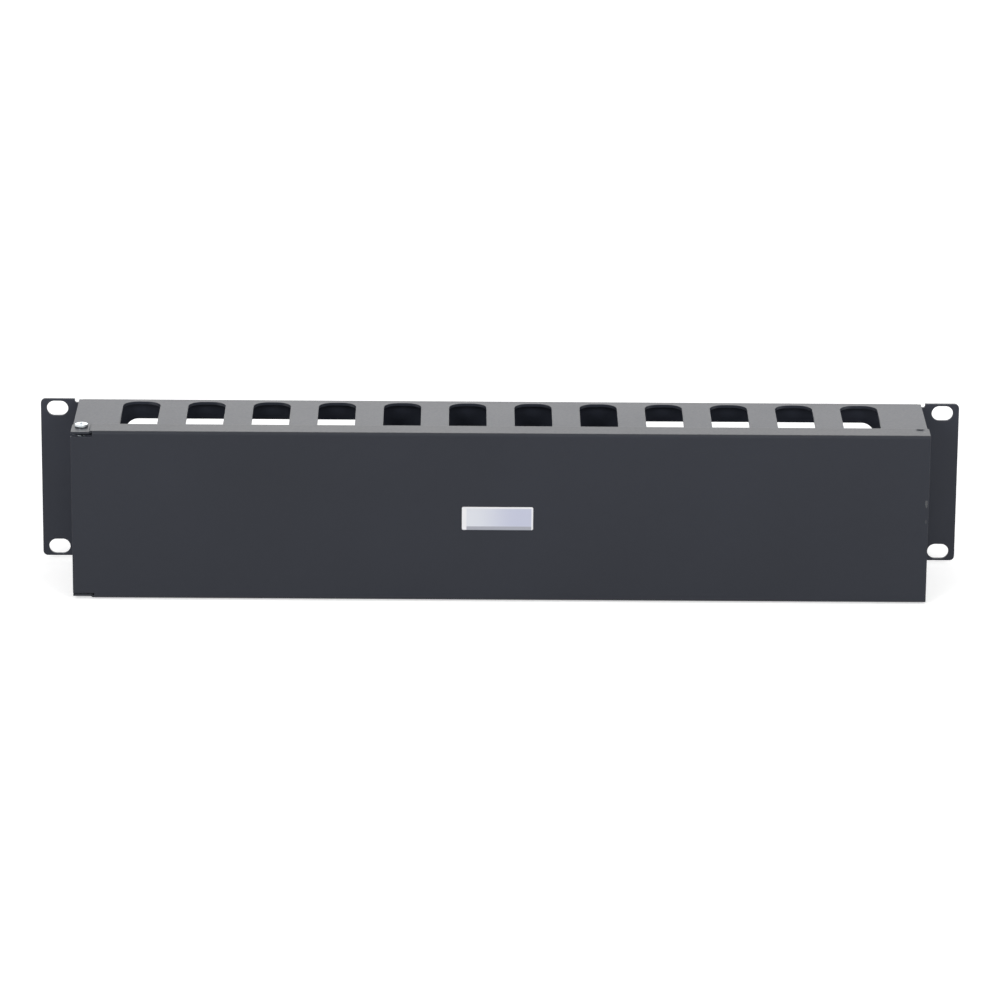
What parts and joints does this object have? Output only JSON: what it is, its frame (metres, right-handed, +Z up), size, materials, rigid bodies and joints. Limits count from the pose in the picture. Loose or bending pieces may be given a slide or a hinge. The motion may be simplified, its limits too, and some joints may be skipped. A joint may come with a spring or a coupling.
{
  "type": "horizontal cable manager",
  "caption": "Rack-mounted horizontal cable trough in folded sheet steel with slotted walls and a hinged front cover.",
  "frame": {"origin": "middle of the back of the rack ears, where they bear on the rack rails, half way between the four rack slots", "axes": "+X along the width, to the right as seen from the front; +Y into the rack, so the cover faces -Y; +Z up"},
  "size_m": [0.4826, 0.0667, 0.0922],
  "materials": {
    "powder_coat": "satin dark grey powder coat on sheet steel",
    "zinc_screw": "bright zinc plate",
    "label_film": "smooth blank film"
  },
  "bodies": {
    "channel": {"channel_body": "powder_coat", "top_pivot_screw": "zinc_screw", "bottom_pivot_screw": "zinc_screw"},
    "cover": {"hinged_cover": "powder_coat", "blank_label": "label_film"}
  },
  "joints": [
    {"name": "cover_hinge", "type": "hinge", "parent": "channel", "child": "cover", "pos_m": [-0.2163, -0.0551, 0], "axis": [0, 0, 1], "range_deg": [-120, 0]}
  ]
}
